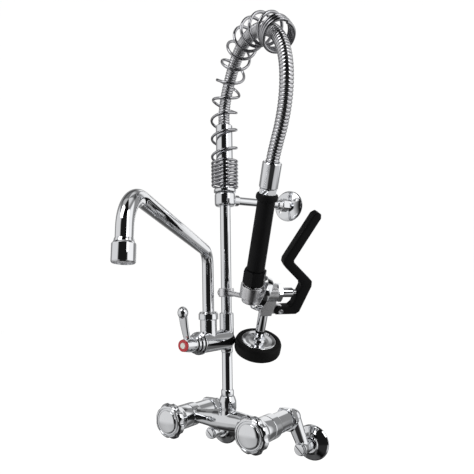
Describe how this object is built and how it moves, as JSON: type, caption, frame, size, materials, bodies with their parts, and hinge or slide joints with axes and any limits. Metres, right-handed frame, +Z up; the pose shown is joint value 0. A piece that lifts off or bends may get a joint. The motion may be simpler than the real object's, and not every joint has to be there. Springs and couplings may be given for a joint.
{
  "type": "pre-rinse faucet",
  "caption": "Wall-mounted pre-rinse faucet: two-valve mixer on adjustable arms, lever-fed swing spout, riser with wall bracket, spring-guarded hose and hanging squeeze spray valve",
  "frame": {"origin": "on the wall face, midway between the two wall inlets", "axes": "X to the right along the wall, Y into the wall, Z up"},
  "size_m": [0.2854, 0.4429, 0.6262],
  "materials": {
    "chrome": "polished chrome plate on cast and turned brass",
    "satin_casting": "fine satin cast surface",
    "brass": "turned, unplated",
    "steel": "turned stainless steel",
    "hose_steel": "bright wound stainless steel strip",
    "spring_steel": "bright plated spring wire",
    "washer": "plain sealing rubber",
    "black_plastic": "satin moulded black",
    "black_rubber": "satin moulded rubber",
    "red_plastic": "gloss index ring",
    "white_plastic": "plain moulded plastic",
    "grey_plastic": "plain moulded plastic"
  },
  "bodies": {
    "faucet": {"mixer_body": "chrome", "cartridges": "brass", "shrouds": "chrome", "union_nuts": "chrome", "union_washers": "washer", "riser_nut": "chrome", "lower_pipe": "chrome", "addon_body": "chrome", "upper_pipe": "chrome", "addon_bonnet": "chrome", "addon_cartridge": "brass", "spout_nut": "chrome", "spout_bush": "white_plastic", "hook": "chrome", "bracket_collar": "chrome", "bracket_rod": "chrome", "bracket_nut": "chrome", "spring_seat": "chrome", "spring": "spring_steel", "hose_sleeve": "chrome", "hose": "hose_steel", "hose_ferrule": "chrome", "spray_nut": "chrome", "handle_tube": "steel", "grip": "black_plastic", "grip_collar": "black_plastic", "spray_body": "satin_casting", "bonnet_nut": "chrome", "stem_sleeve": "chrome", "valve_spring": "steel", "lever_pin": "steel", "spray_dish": "chrome", "bumper": "black_rubber", "spray_face": "grey_plastic"},
    "left_control": {"left_spindle": "brass", "left_knob": "chrome", "left_knob_screw": "steel", "left_knob_cap": "chrome"},
    "left_inlet_arm": {"left_arm": "chrome"},
    "left_cover_flange": {"left_wall_flange": "chrome"},
    "left_stop": {"left_stop_screw": "chrome"},
    "right_control": {"right_spindle": "brass", "right_knob": "chrome", "right_knob_screw": "steel", "right_knob_cap": "chrome"},
    "right_inlet_arm": {"right_arm": "chrome"},
    "right_cover_flange": {"right_wall_flange": "chrome"},
    "right_stop": {"right_stop_screw": "chrome"},
    "addon_lever": {"lever_spindle": "brass", "lever_handle": "chrome", "index_ring": "red_plastic", "index_button": "white_plastic"},
    "swing_spout": {"spout": "chrome", "aerator_shell": "chrome", "aerator_insert": "grey_plastic"},
    "hook_thumb_screw": {"hook_screw": "chrome"},
    "wall_bracket_flange": {"bracket_flange": "chrome"},
    "spray_lever": {"squeeze_lever": "black_plastic"},
    "spray_stem": {"valve_stem": "steel"},
    "spray_hang_ring": {"hang_ring": "chrome"}
  },
  "joints": [
    {"name": "left_knob_turn", "type": "hinge", "parent": "faucet", "child": "left_control", "pos_m": [-0.072, -0.15, 0.0483], "axis": [0, -1, 0], "range_deg": [0, 90]},
    {"name": "right_knob_turn", "type": "hinge", "parent": "faucet", "child": "right_control", "pos_m": [0.072, -0.15, 0.0483], "axis": [0, -1, 0], "range_deg": [0, 90]},
    {"name": "left_arm_swivel", "type": "hinge", "parent": "faucet", "child": "left_inlet_arm", "pos_m": [-0.072, -0.06, 0.0483], "axis": [0, 1, 0], "range_deg": [-70, 75]},
    {"name": "right_arm_swivel", "type": "hinge", "parent": "faucet", "child": "right_inlet_arm", "pos_m": [0.072, -0.06, 0.0483], "axis": [0, 1, 0], "range_deg": [-75, 70]},
    {"name": "left_flange_slide", "type": "slide", "parent": "left_inlet_arm", "child": "left_cover_flange", "axis": [0, -1, 0], "range_m": [0, 0.009]},
    {"name": "left_stop_turn", "type": "hinge", "parent": "left_inlet_arm", "child": "left_stop", "pos_m": [-0.08494, -0.04, 0], "axis": [0, -1, 0], "range_deg": [0, 720]},
    {"name": "right_flange_slide", "type": "slide", "parent": "right_inlet_arm", "child": "right_cover_flange", "axis": [0, -1, 0], "range_m": [0, 0.009]},
    {"name": "right_stop_turn", "type": "hinge", "parent": "right_inlet_arm", "child": "right_stop", "pos_m": [0.08494, -0.04, 0], "axis": [0, -1, 0], "range_deg": [0, 720]},
    {"name": "addon_lever_turn", "type": "hinge", "parent": "faucet", "child": "addon_lever", "pos_m": [0, -0.2, 0.17], "axis": [0, -1, 0], "range_deg": [0, 90]},
    {"name": "spout_swing", "type": "hinge", "parent": "faucet", "child": "swing_spout", "pos_m": [0, -0.157, 0.2], "axis": [0, 0, 1], "range_deg": [-130, 40]},
    {"name": "hook_screw_turn", "type": "hinge", "parent": "faucet", "child": "hook_thumb_screw", "pos_m": [-0.01109, -0.10742, 0.24], "axis": [-0.9243, 0.3816, 0], "range_deg": [0, 720]},
    {"name": "bracket_flange_turn", "type": "hinge", "parent": "faucet", "child": "wall_bracket_flange", "pos_m": [0.048, -0.006, 0.379], "axis": [0, -1, 0], "range_deg": [-90, 90]},
    {"name": "lever_squeeze", "type": "hinge", "parent": "faucet", "child": "spray_lever", "pos_m": [0.07951, -0.09323, 0.21507], "axis": [0.6862, -0.5557, -0.4695], "range_deg": [0, 9.5], "stiffness_Nm_per_rad": 4, "springref_deg": -5.73},
    {"name": "stem_push", "type": "slide", "parent": "faucet", "child": "spray_stem", "axis": [-0.6293, -0.7771, 0], "range_m": [0, 0.00607], "deforming": ["valve_spring"]},
    {"name": "ring_spin", "type": "hinge", "parent": "faucet", "child": "spray_hang_ring", "pos_m": [0.06935, -0.12554, 0.23847], "axis": [0.5484, 0.7308, -0.4063], "continuous": true}
  ],
  "couplings": [
    {"joint": "stem_push", "follows": "lever_squeeze", "m_per_rad": 0.036}
  ]
}
